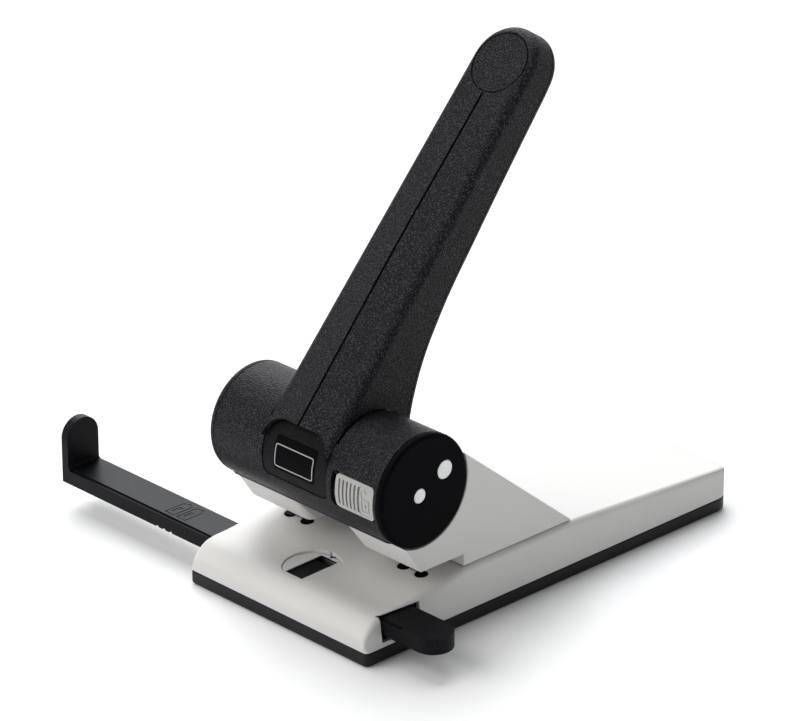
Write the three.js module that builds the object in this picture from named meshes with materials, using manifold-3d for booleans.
// Heavy duty two-hole punch: base with chip tray, punch housing with two legs, a fixed drum cover,
// a long lever whose hub turns inside it, a press yoke with two punches, a side rail and a lock.
// Millimetres, +Z up, +X along the drum, +Y to the rear. Origin: middle of the underside.
import * as THREE from "three";
import { mergeVertices } from "three/addons/utils/BufferGeometryUtils.js";
import Module from "manifold-3d";

const wasm = await Module();
wasm.setup();

// ---- driving dimensions -------------------------------------------------------------------
const GAP = 0.3; // clearance between pieces that touch
const BASE_HALF_WIDTH = 62.4;
const BASE_FRONT = -124.2;
const BASE_REAR = 129.4;
const TRAY_HEIGHT = 7.15;
const TRAY_WALL = 2.2;
const COVER_BOTTOM = TRAY_HEIGHT + GAP;
const COVER_WALL = 2.0;
const DECK_HEIGHT = 29.3; // flat part of the deck, under the housing
const DECK_REAR_HEIGHT = 21.7;
const DECK_FLAT_END = 16;
const REAR_CORNER_RADIUS = 10;
const FRONT_CORNER_RADIUS = 2.2;

const HOUSING_HALF_WIDTH = 59;
const HOUSING_WALL = 2.4;
const LEG_INNER_X = 17.5;
const LEG_BOTTOM = 35.9;
const PAPER_STOP_Y = -57;
const RAMP_SLOPE = 0.8125; // rise of the housing's rear ramp per mm towards the front
const RECESS_RADIUS = 29.3; // round seat of the drum in the housing

const DRUM_Y = -84; // middle of the drum
const DRUM_Z = 78.2;
const AXLE_Y = -86.9; // the lever turns a little in front of the drum's middle
const AXLE_Z = 76.8;
const DRUM_RADIUS = 28.6;
const DRUM_WALL = 2.3;
const DRUM_HALF_LENGTH = 60.1;
const CAP_THICKNESS = 3.6;
const SHAFT_END = DRUM_HALF_LENGTH - 0.25;
const HUB_HALF_WIDTH = 21.9;
const HOOD_REAR_ANGLE = 16; // degrees about the drum's middle, 0 to the rear, 90 up
const HOOD_FRONT_ANGLE = 257;
const TONGUE_ANGLE = 197.5; // lower end of the lever's hub in the notch of the drum cover
const AXLE_RADIUS = 3.8;
const GUIDE_PIN_RADIUS = 4.9; // fixed pins that the forks of the yoke slide on
const GUIDE_PIN_Y = -70.6;
const GUIDE_PIN_Z = 85.3;
const CRANK_RADIUS = 16; // crank pin, turning with the lever
const CRANK_ANGLE = 25;
const CRANK_PIN_RADIUS = 4;

const LEVER_TILT = -32.1; // degrees from vertical, leaning to the rear
const HANDLE_Y = -85; // foot of the handle's own frame
const HANDLE_Z = 78;
const TIP_CENTRE = 202.6; // along the handle from its foot
const TIP_RADIUS = 19.5;

const PUNCH_X = 40; // two holes, 80 mm apart
const PUNCH_Y = -68.7; // 12 mm in front of the paper stop
const PUNCH_RADIUS = 2.75;
const PUNCH_TIP_Z = 36.6;
const YOKE_BOTTOM = 61.7;
const YOKE_HEIGHT = 5;

const RAIL_FRONT = -112.7;
const RAIL_REAR = -92.4;
const RAIL_BOTTOM = 13.4;
const RAIL_TOP = 21.6;
const RAIL_LEFT = -172.3;
const RAIL_RIGHT = 95;
const RAIL_STOP_TOP = 47;

const WINDOW_X = -1;
const WINDOW_Y = -100.1;
const WINDOW_RADIUS = 14.4;
const WINDOW_TILT = 1.1;
const WINDOW_TOP = 22.6; // the disc lies nearly level, so its seat is deeper at the rear
const SLOT_HALF_WIDTH = 5.8;
const SLOT_HALF_LENGTH = 12.1;

const FRAME_BASE_BOTTOM = 18.6;
const FRAME_BASE_TOP = 21;
const FRAME_PLATE_X = 52;
const FRAME_PLATE_THICKNESS = 2.5;

// ---- materials ----------------------------------------------------------------------------
function finish(color, roughness, metalness = 0) {
  return new THREE.MeshStandardMaterial({ color, roughness, metalness });
}
const lightGrey = finish(0xdcdbd8, 0.45);
const blackTextured = finish(0x1e1d20, 0.6);
const blackMatte = finish(0x121114, 0.8);
const blackSatin = finish(0x35383d, 0.4);
const trayBlack = finish(0x1a181a, 0.6);
const rubber = finish(0x222222, 0.9);
const sliderGrey = finish(0xcfcecb, 0.4);
const steel = finish(0x9a9da0, 0.35, 1);
const brightSteel = finish(0xdfe3e2, 0.3, 0.9);
const brass = finish(0xb08d4a, 0.35, 1);

// ---- solids -------------------------------------------------------------------------------
const radians = THREE.MathUtils.degToRad;

// A closed geometry as a manifold-3d solid.
function solid(geometry) {
  const plain = geometry.index ? geometry.toNonIndexed() : geometry.clone();
  const bare = new THREE.BufferGeometry();
  bare.setAttribute("position", plain.getAttribute("position"));
  const merged = mergeVertices(bare, 1e-4);
  return new wasm.Manifold(
    new wasm.Mesh({
      numProp: 3,
      vertProperties: merged.attributes.position.array,
      triVerts: new Uint32Array(merged.index.array),
    }),
  );
}

// A solid as a three.js geometry with flat faces.
function geometryOf(body) {
  const raw = body.getMesh();
  const geometry = new THREE.BufferGeometry();
  geometry.setAttribute("position", new THREE.Float32BufferAttribute(raw.vertProperties, 3));
  geometry.setIndex(Array.from(raw.triVerts));
  const flat = geometry.toNonIndexed();
  flat.computeVertexNormals();
  return flat;
}

function add(parent, name, body, material) {
  const mesh = new THREE.Mesh(geometryOf(body), material);
  mesh.name = name;
  parent.add(mesh);
  return mesh;
}

function box([x0, x1], [y0, y1], [z0, z1]) {
  const geometry = new THREE.BoxGeometry(x1 - x0, y1 - y0, z1 - z0);
  geometry.translate((x0 + x1) / 2, (y0 + y1) / 2, (z0 + z1) / 2);
  return solid(geometry);
}

// Round bar along X, Y or Z.
function rodX(y, z, radius, x0, x1, sides = 20) {
  const geometry = new THREE.CylinderGeometry(radius, radius, x1 - x0, sides);
  geometry.rotateZ(-Math.PI / 2);
  geometry.translate((x0 + x1) / 2, y, z);
  return solid(geometry);
}
function rodZ(x, y, radius, z0, z1, sides = 16) {
  const geometry = new THREE.CylinderGeometry(radius, radius, z1 - z0, sides);
  geometry.rotateX(Math.PI / 2);
  geometry.translate(x, y, (z0 + z1) / 2);
  return solid(geometry);
}

function shapeOf(points) {
  return new THREE.Shape(points.map(([a, b]) => new THREE.Vector2(a, b)));
}
function extrude(shape, depth, curveSegments = 8) {
  return new THREE.ExtrudeGeometry(shape, { depth, bevelEnabled: false, curveSegments });
}
// Outline in (y, z), carried along X.
function prismX(points, x0, x1) {
  const geometry = extrude(shapeOf(points), x1 - x0);
  const [along, up, across] = [
    new THREE.Vector3(0, 1, 0),
    new THREE.Vector3(0, 0, 1),
    new THREE.Vector3(1, 0, 0),
  ];
  geometry.applyMatrix4(new THREE.Matrix4().makeBasis(along, up, across));
  geometry.translate(x0, 0, 0);
  return solid(geometry);
}
// Outline in (x, y), carried up Z.
function prismZ(shape, z0, z1) {
  const geometry = extrude(shape, z1 - z0);
  geometry.translate(0, 0, z0);
  return solid(geometry);
}

// Points of an arc about (cy, cz), angles in degrees, both ends included.
function arc(cy, cz, radius, from, to, steps) {
  const points = [];
  for (let i = 0; i <= steps; i += 1) {
    const angle = radians(from + ((to - from) * i) / steps);
    points.push([cy + radius * Math.cos(angle), cz + radius * Math.sin(angle)]);
  }
  return points;
}

// Plan outline of the base, square at the front and rounded at the rear.
function basePlan(inset) {
  const w = BASE_HALF_WIDTH - inset;
  const [y0, y1] = [BASE_FRONT + inset, BASE_REAR - inset];
  const rear = REAR_CORNER_RADIUS - inset / 2;
  const front = FRONT_CORNER_RADIUS;
  return shapeOf([
    ...arc(w - rear, y1 - rear, rear, 0, 90, 4),
    ...arc(-w + rear, y1 - rear, rear, 90, 180, 4),
    ...arc(-w + front, y0 + front, front, 180, 270, 2),
    ...arc(w - front, y0 + front, front, 270, 360, 2),
  ]);
}

// Closed skin through rings of equal point count, each a list of [x, y, z].
function loft(rings) {
  const count = rings[0].length;
  const middle = (ring) =>
    [0, 1, 2].map((k) => ring.reduce((sum, p) => sum + p[k], 0) / count);
  const points = [...rings.flat(), middle(rings[0]), middle(rings[rings.length - 1])];
  const faces = [];
  for (let r = 0; r + 1 < rings.length; r += 1) {
    for (let i = 0; i < count; i += 1) {
      const j = (i + 1) % count;
      const [a, b] = [r * count + i, r * count + j];
      const [c, d] = [a + count, b + count];
      faces.push(a, b, d, a, d, c);
    }
  }
  const last = (rings.length - 1) * count;
  const [startHub, endHub] = [rings.length * count, rings.length * count + 1];
  for (let i = 0; i < count; i += 1) {
    const j = (i + 1) % count;
    faces.push(startHub, j, i, endHub, last + i, last + j);
  }
  const geometry = new THREE.BufferGeometry();
  geometry.setAttribute("position", new THREE.Float32BufferAttribute(points.flat(), 3));
  geometry.setIndex(faces);
  const body = solid(geometry);
  if (body.volume() > 0) return body;
  const turned = [];
  for (let i = 0; i < faces.length; i += 3) turned.push(faces[i], faces[i + 2], faces[i + 1]);
  geometry.setIndex(turned);
  return solid(geometry);
}

function union(bodies) {
  return bodies.reduce((whole, piece) => whole.add(piece));
}
function cutAll(body, tools) {
  return tools.reduce((rest, tool) => rest.subtract(tool), body);
}
const BOTH_SIDES = [
  ["left", -1],
  ["right", 1],
];

// ---- base ---------------------------------------------------------------------------------
const PAD_CORNERS = [
  [-46, -106],
  [46, -106],
  [-46, 106],
  [46, 106],
];
const PAD_HALF = [12, 9];
const CENTRE_PAD_HALF = [30, 8];
const PAD_DEPTH = 1.1;
const FLAP = { halfWidth: 36, front: 22, rear: 88, bottom: 0.6, top: 2.2 };
const TRAY_FLOOR = 2.4;
const SCREW_SPOTS = [
  [-53, -84],
  [53, -84],
  [-46, 88],
  [46, 88],
];
const SCREW_HEAD_RADIUS = 3.6;
const SCREW_SHANK_RADIUS = 1.6;

function padBox([x, y], [hx, hy], grow, z1) {
  return box([x - hx - grow, x + hx + grow], [y - hy - grow, y + hy + grow], [-1, z1]);
}

// Open-topped tray with lipped floor, pad pockets, screw holes and the flap opening.
function baseTray() {
  const chamfer = 1;
  const outer = prismZ(basePlan(0), chamfer, TRAY_HEIGHT).add(prismZ(basePlan(chamfer), 0, 2));
  const hollow = prismZ(basePlan(TRAY_WALL), TRAY_FLOOR, TRAY_HEIGHT + 1);
  let tray = outer.subtract(hollow);
  const pockets = PAD_CORNERS.map((spot) => padBox(spot, PAD_HALF, GAP, PAD_DEPTH + GAP));
  pockets.push(padBox([0, 0], CENTRE_PAD_HALF, GAP, PAD_DEPTH + GAP));
  tray = cutAll(tray, pockets);
  const bosses = SCREW_SPOTS.map(([x, y]) => rodZ(x, y, 5.4, TRAY_FLOOR - 0.4, TRAY_HEIGHT));
  tray = union([tray, ...bosses]);
  for (const [x, y] of SCREW_SPOTS) {
    tray = tray.subtract(rodZ(x, y, SCREW_SHANK_RADIUS + GAP, -1, TRAY_HEIGHT + 1));
    tray = tray.subtract(rodZ(x, y, SCREW_HEAD_RADIUS + GAP, -1, 3.4));
  }
  const door = box(
    [-FLAP.halfWidth - 0.4, FLAP.halfWidth + 0.4],
    [FLAP.front - 0.4, FLAP.rear + 3.6],
    [-1, TRAY_FLOOR + 1],
  );
  const knuckles = [];
  for (const side of [-1, 1]) {
    const [inner, outerX] = [side * (FLAP.halfWidth - 9.6), side * (FLAP.halfWidth + 2)];
    const span = [Math.min(inner, outerX), Math.max(inner, outerX)];
    knuckles.push(box(span, [FLAP.rear - 1.2, FLAP.rear + 4.6], [0.6, 5.4]));
  }
  tray = union([tray.subtract(door), ...knuckles]);
  return tray.subtract(rodX(FLAP.rear + 0.9, 3.1, 1.35, -FLAP.halfWidth - 1, FLAP.halfWidth + 1));
}

// Flap with its hinge barrel, finger lip and stiffening rib. The plate stops short of the hinge,
// so that it swings clear of the tray.
const FLAP_HINGE_ROOM = 2.6;
function chipFlap() {
  const plateY = [FLAP.front, FLAP.rear - FLAP_HINGE_ROOM];
  const plate = box([-FLAP.halfWidth, FLAP.halfWidth], plateY, [FLAP.bottom, FLAP.top]);
  const barrelX = FLAP.halfWidth - 10;
  const barrel = rodX(FLAP.rear + 0.9, 3.1, 2.3, -barrelX, barrelX);
  const web = box([-barrelX, barrelX], [FLAP.rear - 4, FLAP.rear + 0.9], [1, 3]);
  const rib = box([-30, 30], [FLAP.front + 8, FLAP.front + 9.6], [FLAP.top - 0.2, FLAP.top + 3]);
  const body = union([plate, barrel, web, rib]);
  return body.subtract(rodX(FLAP.rear + 0.9, 3.1, 1.35, -barrelX - 1, barrelX + 1));
}

function trayScrew(x, y) {
  const head = rodZ(x, y, SCREW_HEAD_RADIUS, 0.8, 3.1);
  const shank = rodZ(x, y, SCREW_SHANK_RADIUS, 3, 14);
  const recess = box([x - 2, x + 2], [y - 0.4, y + 0.4], [0, 1.6]);
  const cross = box([x - 0.4, x + 0.4], [y - 2, y + 2], [0, 1.6]);
  return cutAll(head.add(shank), [recess, cross]);
}

// Height of the cover's top surface at each y, front to rear.
const COVER_PROFILE = [
  [BASE_FRONT, 12.6],
  [-123.2, 15.2],
  [-121.6, 17.5],
  [-118.8, 20.2],
  [-115.5, 22.0],
  [-110.9, 22.9],
  [-104, 23.2],
  [-95, 23.95],
  [-84.6, 24.9],
  [-76, 25.8],
  [-70, 26.6],
  [-63, 27.8],
  [-57, 28.8],
  [-51, DECK_HEIGHT],
  [DECK_FLAT_END, DECK_HEIGHT],
  [BASE_REAR - 3.4, DECK_REAR_HEIGHT + 0.1],
  [BASE_REAR - 1.5, DECK_REAR_HEIGHT - 0.6],
  [BASE_REAR - 0.4, DECK_REAR_HEIGHT - 1.9],
  [BASE_REAR, DECK_REAR_HEIGHT - 3.6],
];
const COVER_DRAFT = 1.6;
const COVER_FILLET = 3.2;

// One cross-section of the cover: drafted sides and a rounded edge up to the deck.
function coverRing(y, top, inset, bottom) {
  const foot = BASE_HALF_WIDTH - inset;
  const shoulder = foot - COVER_DRAFT;
  const fillet = Math.min(COVER_FILLET, top - bottom - 1);
  const right = [[foot, bottom], ...arc(shoulder - fillet, top - fillet, fillet, 0, 90, 3)];
  const left = right.map(([x, z]) => [-x, z]).reverse();
  return [...right, ...left].map(([x, z]) => [x, y, z]);
}
function coverBody(inset, drop, bottom) {
  const rings = COVER_PROFILE.map(([y, top]) => {
    const at = THREE.MathUtils.clamp(y, BASE_FRONT + inset, BASE_REAR - inset);
    return coverRing(at, top - drop, inset, bottom);
  });
  const kept = rings.filter((ring, i) => i === 0 || ring[0][1] > rings[i - 1][0][1] + 0.05);
  return loft(kept);
}
function deckHeight(y) {
  const i = COVER_PROFILE.findIndex(([at]) => at > y);
  const [[y0, z0], [y1, z1]] = [COVER_PROFILE[i - 1], COVER_PROFILE[i]];
  return z0 + ((z1 - z0) * (y - y0)) / (y1 - y0);
}

const STUD_SPOTS = [-45.9, -34.1, 34.1, 45.9].map((x) => [x, -72.4]);
const STUD_RADIUS = 3.2;
const DIE_RADIUS = 3.7;

// Everything that passes through the cover.
function coverCuts() {
  const cuts = [
    box([-70, 70], [RAIL_FRONT - 0.6, RAIL_REAR + 0.6], [RAIL_BOTTOM - 0.6, RAIL_TOP + 0.35]),
    box([50, 70], [RAIL_FRONT - 0.6, RAIL_REAR + 4.2], [0, RAIL_TOP + 0.9]),
  ];
  for (const [x, y] of STUD_SPOTS) cuts.push(rodZ(x, y, STUD_RADIUS + GAP, 10, 40));
  for (const [, side] of BOTH_SIDES) {
    cuts.push(rodZ(side * PUNCH_X, PUNCH_Y, DIE_RADIUS + GAP, 10, 40));
    const x0 = side * (FRAME_PLATE_X - 0.4);
    const x1 = side * (FRAME_PLATE_X + FRAME_PLATE_THICKNESS + 0.4);
    cuts.push(box([Math.min(x0, x1), Math.max(x0, x1)], [-54, 0.6], [10, 40]));
  }
  return cuts;
}

function baseCover() {
  const plan = prismZ(basePlan(0), COVER_BOTTOM, 60);
  const innerPlan = prismZ(basePlan(TRAY_WALL), 0, 60);
  const outer = coverBody(0, 0, COVER_BOTTOM).intersect(plan);
  const hollow = coverBody(TRAY_WALL, COVER_WALL, 0).intersect(innerPlan);
  const seat = windowDisc(WINDOW_RADIUS + GAP, -3, 4);
  const posts = SCREW_SPOTS.map(([x, y]) => {
    const reach = deckHeight(y) - 1;
    const start = y < 0 ? FRAME_BASE_TOP + GAP : COVER_BOTTOM + 1;
    return rodZ(x, y, 4.4, start, reach);
  });
  const shell = outer.subtract(hollow).add(union(posts));
  const bores = SCREW_SPOTS.map(([x, y]) => rodZ(x, y, SCREW_SHANK_RADIUS + GAP, 0, 15));
  return cutAll(shell, [seat, ...coverCuts(), ...bores]);
}

// Round disc of the window, a little tilted.
function windowDisc(radius, from, to) {
  const geometry = new THREE.CylinderGeometry(radius, radius, to - from, 28);
  geometry.rotateX(Math.PI / 2);
  geometry.translate(0, 0, (from + to) / 2);
  geometry.rotateX(radians(WINDOW_TILT));
  geometry.translate(WINDOW_X, WINDOW_Y, WINDOW_TOP);
  return solid(geometry);
}
function formatWindow() {
  const disc = windowDisc(WINDOW_RADIUS, -0.55, 0);
  const slotX = [WINDOW_X - SLOT_HALF_WIDTH, WINDOW_X + SLOT_HALF_WIDTH];
  const slotY = [WINDOW_Y - SLOT_HALF_LENGTH, WINDOW_Y + SLOT_HALF_LENGTH];
  const slot = box(slotX, slotY, [0, 40]);
  const arrow = box([WINDOW_X - 0.3, WINDOW_X + 1.3], [WINDOW_Y + 12.9, WINDOW_Y + 15], [0, 40]);
  return cutAll(disc, [slot, arrow]);
}

// ---- punch housing ------------------------------------------------------------------------
function rampHeight(y, drop) {
  return DECK_HEIGHT + GAP + RAMP_SLOPE * (DECK_FLAT_END + 0.5 - y) - drop;
}
const LEVER_CHANNEL_HALF = 24.6;
const LEVER_CHANNEL_RADIUS = 53;
const LEVER_CHANNEL_FLOOR = 61;
const LEVER_HUB_SWEEP = 33;
const EAR_ROOM = 27.8; // half width of the room that the ears of the yoke sink into

// Room for the root of the lever in the middle of the ramp.
function leverChannel(grow) {
  const half = LEVER_CHANNEL_HALF + grow;
  const round = rodX(AXLE_Y, AXLE_Z, LEVER_CHANNEL_RADIUS + grow, -half, half, 40);
  const hub = rodX(AXLE_Y, AXLE_Z, LEVER_HUB_SWEEP + grow, -half, half, 32);
  const upper = round.intersect(box([-half, half], [-75, 0], [LEVER_CHANNEL_FLOOR - grow, 120]));
  return upper.add(hub.intersect(box([-half, half], [-70, 0], [48, 70])));
}

function punchHousing() {
  const foot = DECK_HEIGHT + GAP;
  const wall = HOUSING_WALL;
  const outline = [
    [DECK_FLAT_END + 0.5, foot],
    [-62, rampHeight(-62, 0)],
    [DRUM_Y, DRUM_Z],
    [-98.6, 55.4],
    [-85.2, LEG_BOTTOM],
    [PAPER_STOP_Y, LEG_BOTTOM],
    [PAPER_STOP_Y, foot],
  ];
  const drop = wall * 1.29;
  const inner = [
    [DECK_FLAT_END + 0.5 - drop / RAMP_SLOPE, foot],
    [DECK_FLAT_END + 0.5 - drop / RAMP_SLOPE, foot - 2],
    [PAPER_STOP_Y + wall, foot - 2],
    [PAPER_STOP_Y + wall, LEG_BOTTOM + wall],
    [-84, LEG_BOTTOM + wall],
    [-95.8, 55.2],
    [DRUM_Y, DRUM_Z],
    [-62, rampHeight(-62, drop)],
  ];
  const half = HOUSING_HALF_WIDTH;
  const seat = rodX(DRUM_Y, DRUM_Z, RECESS_RADIUS, -half - 1, half + 1, 48);
  const between = box([-LEG_INNER_X, LEG_INNER_X], [-110, PAPER_STOP_Y], [30, 80]);
  let body = cutAll(prismX(outline, -half, half), [seat, between, leverChannel(0)]);
  const legEnd = LEG_INNER_X + wall;
  const keep = box([-legEnd, legEnd], [-110, PAPER_STOP_Y + wall], [20, 100]);
  const room = cutAll(prismX(inner.reverse(), -half + wall, half - wall), [keep, leverChannel(wall)]);
  body = body.subtract(room);
  body = body.subtract(box([-EAR_ROOM, EAR_ROOM], [-79.2, -62.4], [46.4, 72]));
  for (const [, side] of BOTH_SIDES) {
    body = body.subtract(rodZ(side * PUNCH_X, PUNCH_Y, GUIDE_RADIUS + GAP, 30, 42));
  }
  return body;
}

// ---- steel frame, dies and guides ---------------------------------------------------------
const GUIDE_RADIUS = 4.6;
const BRACKET_BOTTOM = 39.2;
const BRACKET_TOP = 41.2;

function frameBase() {
  const plate = box([-56, 56], [-88, 4], [FRAME_BASE_BOTTOM, FRAME_BASE_TOP]);
  const cuts = [box([-24, 24], [-50, -12], [0, 40])];
  for (const [, side] of BOTH_SIDES) cuts.push(rodZ(side * PUNCH_X, PUNCH_Y, 3.4, 0, 40));
  for (const [x, y] of SCREW_SPOTS) cuts.push(rodZ(x, y, SCREW_SHANK_RADIUS + GAP, 0, 40));
  return cutAll(plate, cuts);
}

// Side plate: eyes for the axle and the guide pin, and a neck behind the paper throat.
const AXLE_EYE_RADIUS = 10.8;
const GUIDE_EYE_RADIUS = 8.4;
function framePlate(side) {
  const ends = [side * FRAME_PLATE_X, side * (FRAME_PLATE_X + FRAME_PLATE_THICKNESS)];
  const span = [Math.min(...ends), Math.max(...ends)];
  const neck = prismX(
    [
      [-0.2, FRAME_BASE_TOP + GAP],
      [-0.2, 36],
      [-30, 52],
      [-56, 60],
      [-62.6, 82],
      [-72, 93],
      [-90, 86],
      [-96.6, 73],
      [-86, 58],
      [-72, 47],
      [-53.4, 40.5],
      [-53.4, FRAME_BASE_TOP + GAP],
    ],
    ...span,
  );
  const eyes = [
    rodX(AXLE_Y, AXLE_Z, AXLE_EYE_RADIUS, ...span),
    rodX(GUIDE_PIN_Y, GUIDE_PIN_Z, GUIDE_EYE_RADIUS, ...span),
  ];
  return cutAll(union([neck, ...eyes]), [
    rodX(AXLE_Y, AXLE_Z, BUSH_RADIUS + GAP, -70, 70),
    rodX(GUIDE_PIN_Y, GUIDE_PIN_Z, GUIDE_PIN_RADIUS + GAP, -70, 70),
  ]);
}
const BUSH_RADIUS = 5.6;

function die(side) {
  const x = side * PUNCH_X;
  const nose = rodZ(x, PUNCH_Y, DIE_RADIUS, FRAME_BASE_TOP + GAP, deckHeight(PUNCH_Y) - 0.35);
  const flange = rodZ(x, PUNCH_Y, 5.2, FRAME_BASE_TOP + GAP, 23.6);
  return nose.add(flange).subtract(rodZ(x, PUNCH_Y, PUNCH_RADIUS + 0.12, 0, 40));
}
function tableStud(x, y) {
  const top = deckHeight(y) + 0.35;
  const head = rodZ(x, y, STUD_RADIUS, top - 1.9, top);
  return head.add(rodZ(x, y, 1.5, FRAME_BASE_TOP + GAP, top - 1));
}
function guideBracket(side) {
  const [x0, x1] = [side * 21, side * 51.4];
  const span = [Math.min(x0, x1), Math.max(x0, x1)];
  const plate = box(span, [-79.5, -58.6], [BRACKET_BOTTOM, BRACKET_TOP]);
  const lip = box(span, [-60.2, -58.6], [BRACKET_BOTTOM, BRACKET_TOP + 4]);
  return plate.add(lip).subtract(rodZ(side * PUNCH_X, PUNCH_Y, GUIDE_RADIUS + GAP, 30, 60));
}
function punchGuide(side) {
  const x = side * PUNCH_X;
  const tube = rodZ(x, PUNCH_Y, GUIDE_RADIUS, LEG_BOTTOM + 0.3, 46);
  return tube.subtract(rodZ(x, PUNCH_Y, PUNCH_RADIUS + 0.12, 0, 60));
}

// ---- lever --------------------------------------------------------------------------------
// In the lever's own frame z runs along the lever from its foot and -y faces forward.
const RIDGE_AT_FOOT = 33.6;
const RIDGE_FALL = 0.157; // forward reach lost per mm along the lever
const RIDGE_HEIGHT = 2.6;
const REAR_PROFILE = [
  [3, -24],
  [14, -22],
  [22, -19],
  [30, -15.6],
  [42, -12.2],
  [55, -9.8],
  [68, -8.8],
  [80, -8.8],
  [123, -12.4],
  [170, -17.6],
  [196, -20.8],
];
const HANDLE_HALF_WIDTH = 23.2;
function leverHalfWidth(along) {
  return HANDLE_HALF_WIDTH - 0.0195 * along;
}
// Ring of the lever at one station: roof-shaped front, rounded corners, flat rear.
function leverRing(along, half, front, ridge, rear, inset) {
  const w = half - inset;
  const f = front - inset;
  const r = rear + inset;
  const corner = Math.min(3.6, w * 0.4);
  const back = Math.min(3.2, w * 0.4);
  const right = [
    ...arc(w - corner, f - corner, corner, 70, 0, 3),
    ...arc(w - back, r + back, back, 0, -90, 3),
  ];
  const left = right.map(([x, v]) => [-x, v]).reverse();
  return [[0, f + ridge], ...right, ...left].map(([x, v]) => [x, -v, along]);
}
function leverBody(inset) {
  const rings = REAR_PROFILE.map(([along, rear]) => {
    const front = RIDGE_AT_FOOT - RIDGE_FALL * along - RIDGE_HEIGHT;
    return leverRing(along, leverHalfWidth(along), front, RIDGE_HEIGHT, rear, inset);
  });
  const tipFront = RIDGE_AT_FOOT - RIDGE_FALL * TIP_CENTRE - RIDGE_HEIGHT;
  for (const angle of [0, 28, 50, 66, 79]) {
    const along = TIP_CENTRE + (TIP_RADIUS - inset) * Math.sin(radians(angle));
    const half = TIP_RADIUS * Math.cos(radians(angle)) + inset * (1 - Math.cos(radians(angle)));
    const ease = (1 - Math.cos(radians(angle))) * 3;
    const front = tipFront - RIDGE_FALL * (along - TIP_CENTRE) - ease * 0.6;
    const ridge = RIDGE_HEIGHT * (1 - angle / 80) * 0.8;
    rings.push(leverRing(along, half, front, ridge, -21.2 + ease, inset));
  }
  return loft(rings);
}
const LEVER_WALL = 2.2;
const PAD_RADIUS = 15.7;
const PAD_ALONG = 202.2;

// Plane inside the front shell, parallel to the front face, that the round inlay sits in.
function padDisc(radius, from, to) {
  const front = RIDGE_AT_FOOT - RIDGE_FALL * PAD_ALONG - RIDGE_HEIGHT;
  const geometry = new THREE.CylinderGeometry(radius, radius, to - from, 28);
  geometry.translate(0, -(from + to) / 2, 0);
  geometry.rotateX(-Math.atan(RIDGE_FALL));
  geometry.translate(0, -front, PAD_ALONG);
  return solid(geometry);
}

// The rear cover is a shallow lid: the shells meet a little in front of the rear face.
const LID_DEPTH = 3.8;
function leverSplit(shift, forward) {
  const far = forward ? -80 : 80;
  const last = REAR_PROFILE[REAR_PROFILE.length - 1];
  const stations = [[-30, REAR_PROFILE[0][1]], ...REAR_PROFILE, [240, last[1] - 0.4]];
  const line = stations.map(([along, rear]) => [-(rear + LID_DEPTH + shift), along]);
  const outline = [...line, [far, 240], [far, -30]];
  return prismX(forward ? outline.reverse() : outline, -60, 60);
}
function leverShells() {
  const hollowEnds = box([-60, 60], [-80, 80], [-20, TIP_CENTRE + 10]);
  const shell = leverBody(0).subtract(leverBody(LEVER_WALL).intersect(hollowEnds));
  const seatY = DRUM_Y - HANDLE_Y;
  const seatZ = DRUM_Z - HANDLE_Z;
  const drumSeat = rodX(seatY, seatZ, DRUM_RADIUS + GAP, -60, 60, 56).rotate([-LEVER_TILT, 0, 0]);
  const groove = prismX(
    [
      [-RIDGE_AT_FOOT - 2, 0],
      [-RIDGE_AT_FOOT + 2.4, 0],
      [-RIDGE_AT_FOOT + 2.4 + RIDGE_FALL * 186, 186],
      [-RIDGE_AT_FOOT - 2 + RIDGE_FALL * 186, 186],
    ],
    -0.6,
    0.6,
  );
  const seated = cutAll(shell, [drumSeat]);
  const recess = padDisc(PAD_RADIUS + GAP, -1.5, 8);
  const front = cutAll(seated.intersect(leverSplit(GAP / 2, true)), [groove, recess]);
  const rear = seated.intersect(leverSplit(-GAP / 2, false));
  return { front, rear };
}

// ---- drum cover, hub of the lever and lock slider, placed about the drum's middle -----------
function ringSector(x0, x1, inner, outer, from, to) {
  const steps = Math.max(4, Math.round(Math.abs(to - from) / 6));
  const outline = [
    ...arc(0, 0, outer, from, to, steps),
    ...arc(0, 0, inner, to, from, steps),
  ];
  return prismX(outline, x0, x1);
}
const DRUM_INNER = DRUM_RADIUS - DRUM_WALL;

// One moulding: two hoods, the strip below the hub between them and a lip along the lower edge.
const SLIDER = { left: 29.2, right: 54.6, low: 197.3, high: 162.5, travel: 3 };
const SLIDER_POCKET = 1; // degrees of room above and below the slider
const LIP_END = 50;
const HANDLE_FOOT_ANGLE = 138; // front end of the slot that the handle swings in
function drumCover() {
  const far = DRUM_HALF_LENGTH - CAP_THICKNESS - GAP;
  const near = HUB_HALF_WIDTH + GAP;
  const tube = ringSector(-far, far, DRUM_INNER, DRUM_RADIUS, HOOD_REAR_ANGLE, HOOD_FRONT_ANGLE);
  const notch = ringSector(-near, near, DRUM_INNER - 3, DRUM_RADIUS + 3, 0, TONGUE_ANGLE + 0.8);
  const foot = HANDLE_HALF_WIDTH + GAP + 0.1;
  const handleRoom = ringSector(-foot, foot, DRUM_INNER - 3, DRUM_RADIUS + 3, 0, HANDLE_FOOT_ANGLE);
  const inner = arc(0, 0, DRUM_RADIUS - 0.8, 230, 250, 4);
  const proud = arc(0, 0, DRUM_RADIUS + 0.9, 244.5, 238, 2);
  const lip = prismX([...inner, ...proud], -far, LIP_END);
  const pocket = ringSector(
    SLIDER.left - SLIDER.travel - GAP,
    SLIDER.right + GAP,
    DRUM_INNER - 3,
    DRUM_RADIUS + 3,
    SLIDER.high - SLIDER_POCKET,
    SLIDER.low + SLIDER_POCKET,
  );
  return cutAll(tube.add(lip), [notch, handleRoom, pocket]);
}

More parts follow.
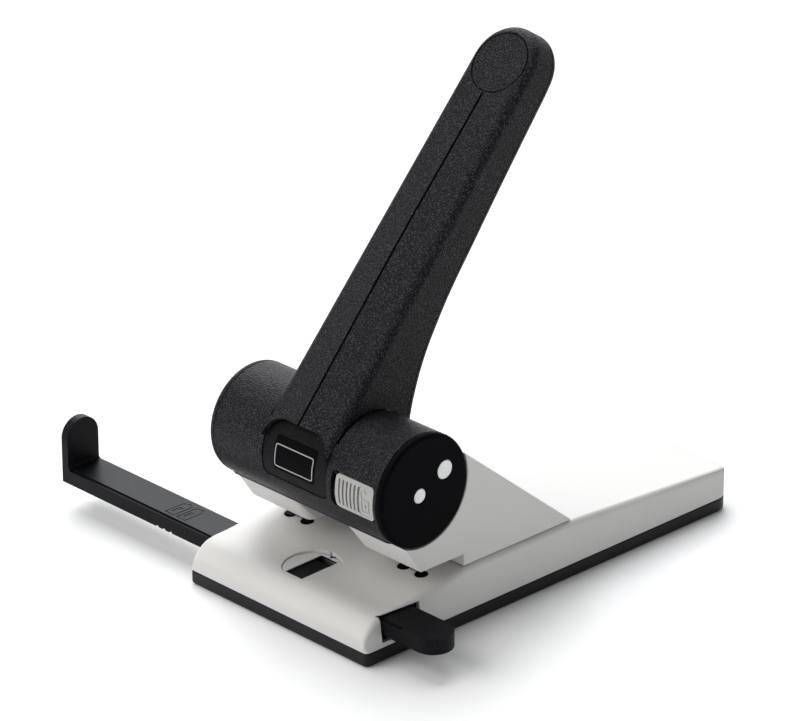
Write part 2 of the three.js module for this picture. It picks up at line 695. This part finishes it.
// Round hub of the lever, with slots for the crank plates and a shallow seat for the label.
const HUB_DROP = 0.4; // the hub lies a little below the drum's skin
const LABEL = { halfWidth: 14, high: 152, low: 186, thickness: 1.2 };
function leverHub() {
  const band = ringSector(
    -HUB_HALF_WIDTH,
    HUB_HALF_WIDTH,
    DRUM_INNER,
    DRUM_RADIUS - HUB_DROP,
    HOOD_REAR_ANGLE,
    TONGUE_ANGLE,
  );
  const slots = BOTH_SIDES.map(([, side]) => {
    const ends = [side * (CRANK_X - 0.5), side * (CRANK_X + CRANK_THICKNESS + 0.5)];
    const slot = box([Math.min(...ends), Math.max(...ends)], [-13.5, 14], [0, 40]);
    return slot.rotate([LEVER_TILT, 0, 0]);
  });
  const seat = ringSector(
    -LABEL.halfWidth - GAP,
    LABEL.halfWidth + GAP,
    DRUM_RADIUS - HUB_DROP - LABEL.thickness - GAP,
    DRUM_RADIUS + 3,
    LABEL.high - 0.6,
    LABEL.low + 0.6,
  );
  return cutAll(band, [...slots, seat]);
}
function labelPlate() {
  const outer = DRUM_RADIUS - HUB_DROP - 0.05;
  const half = LABEL.halfWidth;
  return ringSector(-half, half, outer - LABEL.thickness, outer, LABEL.high, LABEL.low);
}

// Flat end cover of the drum with a rounded rim and holes for the two shafts.
function endCap(side) {
  const rim = 1.4;
  const t = CAP_THICKNESS;
  const profile = [[0, 0], [DRUM_RADIUS, 0]];
  for (const angle of [0, 45, 90]) {
    profile.push([
      DRUM_RADIUS - rim + rim * Math.cos(radians(angle)),
      t - rim + rim * Math.sin(radians(angle)),
    ]);
  }
  profile.push([0, t]);
  const points = profile.map(([r, h]) => new THREE.Vector2(r, h));
  const geometry = new THREE.LatheGeometry(points, 44);
  geometry.rotateZ((-side * Math.PI) / 2);
  geometry.translate(side * (DRUM_HALF_LENGTH - t), 0, 0);
  const cap = solid(geometry);
  return cutAll(cap, [
    rodX(AXLE_Y - DRUM_Y, AXLE_Z - DRUM_Z, AXLE_RADIUS + GAP, -70, 70),
    rodX(GUIDE_PIN_Y - DRUM_Y, GUIDE_PIN_Z - DRUM_Z, GUIDE_PIN_RADIUS + GAP, -70, 70),
  ]);
}

// ---- steel core of the lever --------------------------------------------------------------
const CRANK_X = 15.5;
const CRANK_THICKNESS = 2.5;
const CRANK_REACH = 96;
const CRANK_PIN_Y = AXLE_Y + CRANK_RADIUS * Math.cos(radians(CRANK_ANGLE));
const CRANK_PIN_Z = AXLE_Z + CRANK_RADIUS * Math.sin(radians(CRANK_ANGLE));

// Plate with eyes for the axle and the crank pin, tapering into the handle.
function crankPlate(side) {
  const ends = [side * CRANK_X, side * (CRANK_X + CRANK_THICKNESS)];
  const span = [Math.min(...ends), Math.max(...ends)];
  const inHandle = (body) => body.rotate([LEVER_TILT, 0, 0]).translate([0, HANDLE_Y, HANDLE_Z]);
  const arm = prismX(
    [
      [9, 0],
      [7.5, 30],
      [5, 58],
      [5, CRANK_REACH],
      [-7, CRANK_REACH],
      [-12, 24],
      [-9, 0],
    ],
    ...span,
  );
  const eye = rodX(AXLE_Y, AXLE_Z, 9, ...span);
  const pinEye = rodX(CRANK_PIN_Y, CRANK_PIN_Z, 7.4, ...span);
  const rivets = RIVET_SPOTS.map((along) => {
    return inHandle(rodX(-1, along, RIVET_RADIUS + GAP, -60, 60));
  });
  return cutAll(union([inHandle(arm), eye, pinEye]), [
    rodX(AXLE_Y, AXLE_Z, AXLE_RADIUS + GAP, -70, 70),
    rodX(CRANK_PIN_Y, CRANK_PIN_Z, CRANK_PIN_RADIUS + GAP, -70, 70),
    ...rivets,
  ]);
}
const RIVET_SPOTS = [44, 84];
const RIVET_RADIUS = 2.4;
function coreRivet(along) {
  const half = CRANK_X + CRANK_THICKNESS;
  const shank = rodX(-1, along, RIVET_RADIUS, -half - 0.2, half + 0.2);
  const sleeve = rodX(-1, along, 4.2, -CRANK_X + GAP, CRANK_X - GAP);
  return shank.add(sleeve);
}

// Helical coil of round wire as one closed tube along X or Z.
function coil(radius, wire, turns, length, sides, alongX) {
  class Helix extends THREE.Curve {
    getPoint(t) {
      const angle = t * turns * 2 * Math.PI;
      const [a, b] = [radius * Math.cos(angle), radius * Math.sin(angle)];
      const s = (t - 0.5) * length;
      return alongX ? new THREE.Vector3(s, a, b) : new THREE.Vector3(a, b, s);
    }
  }
  const section = new THREE.Shape();
  section.absarc(0, 0, wire / 2, 0, 2 * Math.PI, false);
  const geometry = new THREE.ExtrudeGeometry(section, {
    steps: Math.round(turns * 10),
    curveSegments: sides,
    bevelEnabled: false,
    extrudePath: new Helix(),
  });
  return solid(geometry);
}

// ---- press, lock and rail -----------------------------------------------------------------
const YOKE_HALF = 48;
const EAR_X = 23; // ears with the level slot for the crank pin
const FORK_X = 44; // open forks that slide on the guide pins
const EAR_THICKNESS = 4;
const SLOT_PLAY = 0.4;

function yokePlate(outline, x) {
  return union(
    BOTH_SIDES.map(([, side]) => {
      const ends = [side * x, side * (x + EAR_THICKNESS)];
      return prismX(outline, Math.min(...ends), Math.max(...ends));
    }),
  );
}
// Cross bar that carries the punches, pushed down by the crank pin.
function pressYoke() {
  const top = YOKE_BOTTOM + YOKE_HEIGHT;
  const bar = box([-YOKE_HALF, YOKE_HALF], [-75, -63.2], [YOKE_BOTTOM, top]);
  const ears = yokePlate(
    [
      [-78.6, top - 1],
      [-64.6, top - 1],
      [-64.2, 80],
      [-65.6, 89.6],
      [-78.6, 90.8],
    ],
    EAR_X,
  );
  const forks = yokePlate(
    [
      [-78.4, top - 1],
      [-63.2, top - 1],
      [-63.2, 88],
      [-65, 91.6],
      [-78.4, 96],
    ],
    FORK_X,
  );
  const slotHalf = CRANK_PIN_RADIUS + SLOT_PLAY;
  const level = box(
    [-EAR_X - 10, EAR_X + 10],
    [CRANK_PIN_Y - slotHalf, AXLE_Y + CRANK_RADIUS + slotHalf],
    [CRANK_PIN_Z - slotHalf, CRANK_PIN_Z + slotHalf],
  );
  const forkHalf = GUIDE_PIN_RADIUS + SLOT_PLAY;
  const upright = [GUIDE_PIN_Z - forkHalf, 120];
  const forkSlots = BOTH_SIDES.map(([, side]) => {
    const ends = [side * (FORK_X - 1), side * (FORK_X + EAR_THICKNESS + 1)];
    const across = [Math.min(...ends), Math.max(...ends)];
    return box(across, [GUIDE_PIN_Y - forkHalf, GUIDE_PIN_Y + forkHalf], upright);
  });
  const bores = BOTH_SIDES.map(([, side]) => rodZ(side * PUNCH_X, PUNCH_Y, 3.1, 50, 80));
  return cutAll(union([bar, ears, forks]), [level, ...forkSlots, ...bores]);
}
function punch(side) {
  const x = side * PUNCH_X;
  const headBottom = YOKE_BOTTOM + YOKE_HEIGHT + GAP;
  const shank = rodZ(x, PUNCH_Y, PUNCH_RADIUS, PUNCH_TIP_Z, headBottom + 0.5);
  return shank.add(rodZ(x, PUNCH_Y, 3.2, headBottom, headBottom + 2.4));
}
const SPRING_LOW = BRACKET_TOP + 0.5;
const WASHER_BOTTOM = YOKE_BOTTOM - GAP - 1.2;
function punchWasher(side) {
  const x = side * PUNCH_X;
  const ring = rodZ(x, PUNCH_Y, 7, WASHER_BOTTOM, WASHER_BOTTOM + 1.2);
  return ring.subtract(rodZ(x, PUNCH_Y, PUNCH_RADIUS + GAP, 0, 90));
}
function returnSpring(side) {
  const wire = 1.1;
  const high = WASHER_BOTTOM - 0.5;
  const length = high - SPRING_LOW - wire;
  const body = coil(5.7, wire, 4, length, 3, false);
  return body.translate([side * PUNCH_X, PUNCH_Y, (SPRING_LOW + high) / 2]);
}

// Curved slider: a plate with six gripping ribs on its left half.
function lockSlider() {
  const outer = DRUM_RADIUS - 0.5;
  const { left, right, high, low } = SLIDER;
  const plate = ringSector(left, right, DRUM_RADIUS - 3.4, outer, high, low);
  const ribs = [];
  for (let i = 0; i < 6; i += 1) {
    const x = left + 3.5 + i * 2.57;
    ribs.push(ringSector(x, x + 1.4, outer - 0.5, DRUM_RADIUS + 0.25, high + 3, low - 3));
  }
  return union([plate, ...ribs]);
}
// Bolt behind the slider, pointing at the side of the lever's hub.
const BOLT_FORWARD = -DRUM_RADIUS + 6.2;
function lockBolt() {
  const bolt = rodX(BOLT_FORWARD, -6, 1.6, HUB_HALF_WIDTH + 4, 50);
  const tab = box([SLIDER.left + 4, SLIDER.left + 9], [BOLT_FORWARD - 1.6, BOLT_FORWARD], [-6, -1]);
  return bolt.add(tab);
}

const RAIL_RABBET_END = 74;
function sideRail() {
  const halfWidth = (RAIL_REAR - RAIL_FRONT) / 2;
  const middle = (RAIL_REAR + RAIL_FRONT) / 2;
  const bar = shapeOf([
    [RAIL_LEFT, RAIL_FRONT],
    ...arc(RAIL_RIGHT - halfWidth, middle, halfWidth, -90, 90, 12),
    [RAIL_LEFT, RAIL_REAR],
  ]);
  const stopThickness = 4.6;
  const stop = prismX(
    [
      [RAIL_FRONT, RAIL_BOTTOM],
      [RAIL_REAR, RAIL_BOTTOM],
      ...arc(middle, RAIL_STOP_TOP - halfWidth, halfWidth, 0, 180, 12),
    ],
    RAIL_LEFT,
    RAIL_LEFT + stopThickness,
  );
  const rabbetX = [RAIL_LEFT + stopThickness + 1, RAIL_RABBET_END];
  const rabbet = box(rabbetX, [RAIL_FRONT - 1, RAIL_FRONT + 1.7], [RAIL_TOP - 1.1, 30]);
  const notches = [-30, 0, 30].map((x) => box([x - 1, x + 1], [-105, -100], [0, RAIL_BOTTOM + 1]));
  return cutAll(prismZ(bar, RAIL_BOTTOM, RAIL_TOP).add(stop), [rabbet, ...notches]);
}
function railSpring() {
  const foot = box([-20, 20], [-106, -99], [TRAY_FLOOR + GAP, TRAY_FLOOR + 1.5]);
  const leaf = prismY(
    [
      [-19, TRAY_FLOOR + 1],
      [-2, RAIL_BOTTOM - 1.3],
      [2, RAIL_BOTTOM - 1.3],
      [19, TRAY_FLOOR + 1],
      [19, TRAY_FLOOR + 2],
      [2, RAIL_BOTTOM - 0.3],
      [-2, RAIL_BOTTOM - 0.3],
      [-19, TRAY_FLOOR + 2],
    ],
    -105,
    -100,
  );
  return foot.add(leaf);
}
// Outline in (x, z), carried along Y.
function prismY(points, y0, y1) {
  const geometry = extrude(shapeOf(points), y1 - y0);
  const [across, up, back] = [
    new THREE.Vector3(1, 0, 0),
    new THREE.Vector3(0, 0, 1),
    new THREE.Vector3(0, -1, 0),
  ];
  geometry.applyMatrix4(new THREE.Matrix4().makeBasis(across, up, back));
  geometry.translate(0, y1, 0);
  return solid(geometry);
}

// ---- assembly -----------------------------------------------------------------------------
const machine = new THREE.Group();
machine.name = "two_hole_punch";

add(machine, "base_tray", baseTray(), trayBlack);
PAD_CORNERS.forEach(([x, y], i) => {
  const [hx, hy] = PAD_HALF;
  const pad = box([x - hx, x + hx], [y - hy, y + hy], [0, PAD_DEPTH]);
  add(machine, `anti_slip_pad_${i + 1}`, pad, rubber);
});
const [centreX, centreY] = CENTRE_PAD_HALF;
const centrePad = box([-centreX, centreX], [-centreY, centreY], [0, PAD_DEPTH]);
add(machine, "anti_slip_pad_5", centrePad, rubber);
add(machine, "chip_flap", chipFlap(), trayBlack);
const flapPin = rodX(FLAP.rear + 0.9, 3.1, 1.05, -FLAP.halfWidth - 0.8, FLAP.halfWidth + 0.8);
add(machine, "flap_pin", flapPin, steel);
SCREW_SPOTS.forEach(([x, y], i) => add(machine, `tray_screw_${i + 1}`, trayScrew(x, y), steel));
add(machine, "base_cover", baseCover(), lightGrey);
add(machine, "format_window", formatWindow(), lightGrey);
add(machine, "punch_housing", punchHousing(), lightGrey);
add(machine, "frame_base", frameBase(), steel);
add(machine, "rail_spring", railSpring(), steel);
STUD_SPOTS.forEach(([x, y], i) => add(machine, `table_stud_${i + 1}`, tableStud(x, y), blackMatte));

for (const [name, side] of BOTH_SIDES) {
  add(machine, `frame_plate_${name}`, framePlate(side), steel);
  const [x0, x1] = [side * (FRAME_PLATE_X - 1.6), side * (FRAME_PLATE_X + 4)];
  const bush = rodX(AXLE_Y, AXLE_Z, BUSH_RADIUS, Math.min(x0, x1), Math.max(x0, x1));
  const bore = rodX(AXLE_Y, AXLE_Z, AXLE_RADIUS + 0.12, -70, 70);
  add(machine, `axle_bush_${name}`, bush.subtract(bore), brass);
  add(machine, `die_${name}`, die(side), steel);
  add(machine, `guide_bracket_${name}`, guideBracket(side), steel);
  add(machine, `punch_guide_${name}`, punchGuide(side), brass);
  add(machine, `return_spring_${name}`, returnSpring(side), steel);
  add(machine, `punch_${name}`, punch(side), steel);
  add(machine, `punch_washer_${name}`, punchWasher(side), steel);
}
add(machine, "press_yoke", pressYoke(), steel);
add(machine, "side_rail", sideRail(), blackSatin);

for (const [name, side] of BOTH_SIDES) {
  add(machine, `crank_plate_${name}`, crankPlate(side), steel);
  const ends = [side * (EAR_X + EAR_THICKNESS + 3), side * SHAFT_END];
  const span = [Math.min(...ends), Math.max(...ends)];
  const guidePin = rodX(GUIDE_PIN_Y, GUIDE_PIN_Z, GUIDE_PIN_RADIUS, ...span);
  add(machine, `guide_pin_${name}`, guidePin, brightSteel);
}
const crankEnd = EAR_X + EAR_THICKNESS + 0.6;
const crankPin = rodX(CRANK_PIN_Y, CRANK_PIN_Z, CRANK_PIN_RADIUS, -crankEnd, crankEnd);
add(machine, "crank_pin", crankPin, steel);
const axle = rodX(AXLE_Y, AXLE_Z, AXLE_RADIUS, -SHAFT_END, SHAFT_END);
add(machine, "main_axle", axle, brightSteel);
const spring = coil(6.2, 1.8, 5, 22, 3, true).translate([0, AXLE_Y, AXLE_Z]);
add(machine, "lever_spring", spring, steel);

const drum = new THREE.Group();
drum.position.set(0, DRUM_Y, DRUM_Z);
machine.add(drum);
add(drum, "drum_cover", drumCover(), blackTextured);
for (const [name, side] of BOTH_SIDES) add(drum, `end_cap_${name}`, endCap(side), blackMatte);
add(drum, "lever_hub", leverHub(), blackTextured);
add(drum, "label_plate", labelPlate(), blackMatte);
add(drum, "lock_slider", lockSlider(), sliderGrey);
add(drum, "lock_bolt", lockBolt(), steel);

const handle = new THREE.Group();
handle.position.set(0, HANDLE_Y, HANDLE_Z);
handle.rotation.x = radians(LEVER_TILT);
machine.add(handle);
const shells = leverShells();
add(handle, "lever_front", shells.front, blackTextured);
add(handle, "lever_rear", shells.rear, blackTextured);
add(handle, "grip_disc", padDisc(PAD_RADIUS, -1.2, -0.1), blackTextured);
RIVET_SPOTS.forEach((along, i) => add(handle, `core_rivet_${i + 1}`, coreRivet(along), steel));

export default machine;
